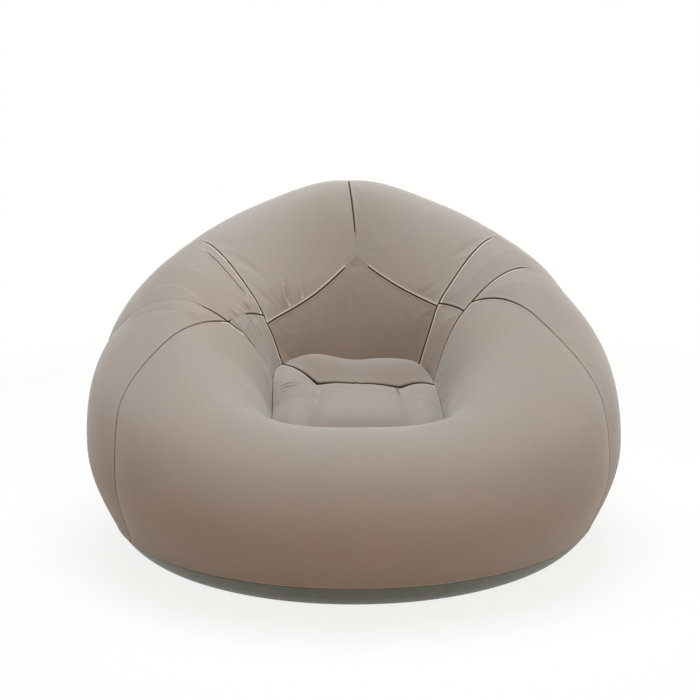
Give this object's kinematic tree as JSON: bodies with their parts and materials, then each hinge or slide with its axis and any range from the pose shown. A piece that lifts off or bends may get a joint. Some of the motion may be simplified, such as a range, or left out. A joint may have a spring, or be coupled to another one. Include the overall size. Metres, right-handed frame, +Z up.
{
  "type": "inflatable lounge chair",
  "caption": "Inflatable lounge chair: flocked vinyl panels welded round one air chamber, a deep bucket seat, inner seat webs and a stopper valve with a hinged cap.",
  "frame": {"origin": "on the floor, under the middle of the chair's box", "axes": "+Z up, the sitter faces -Y, +X to the right of someone who faces the chair"},
  "size_m": [1.0694, 1.0401, 0.6897],
  "materials": {
    "flocked_vinyl": "short velvet flocking on vinyl",
    "base_vinyl": "smooth satin vinyl",
    "web_vinyl": "plain vinyl sheet",
    "valve_plastic": "satin moulded vinyl",
    "valve_rubber": "soft matt rubber"
  },
  "bodies": {
    "chair": {"front_panel": "flocked_vinyl", "side_panel_left": "flocked_vinyl", "side_panel_right": "flocked_vinyl", "shoulder_panel_left": "flocked_vinyl", "shoulder_panel_right": "flocked_vinyl", "gusset_left": "flocked_vinyl", "gusset_right": "flocked_vinyl", "rear_panel_left": "flocked_vinyl", "rear_panel_right": "flocked_vinyl", "backrest_panel": "flocked_vinyl", "seat_front_panel": "flocked_vinyl", "seat_rear_panel": "flocked_vinyl", "base_panel": "base_vinyl", "seat_web_rear": "web_vinyl", "seat_web_left": "web_vinyl", "seat_web_right": "web_vinyl", "valve_base": "valve_plastic"},
    "plug": {"valve_plug": "valve_plastic"},
    "cap": {"valve_cap": "valve_plastic"},
    "flap": {"valve_flap": "valve_rubber"}
  },
  "joints": [
    {"name": "plug_pull", "type": "slide", "parent": "chair", "child": "plug", "axis": [-0.3624, 0.8931, -0.2665], "range_m": [0, 0.02]},
    {"name": "cap_hinge", "type": "hinge", "parent": "plug", "child": "cap", "pos_m": [-0.20203, 0.47456, 0.16628], "axis": [-0.9214, -0.3864, -0.042], "range_deg": [0, 150]},
    {"name": "flap_lift", "type": "slide", "parent": "plug", "child": "flap", "axis": [0.3624, -0.8931, 0.2665], "range_m": [0, 0.003], "stiffness_N_per_m": 5}
  ]
}
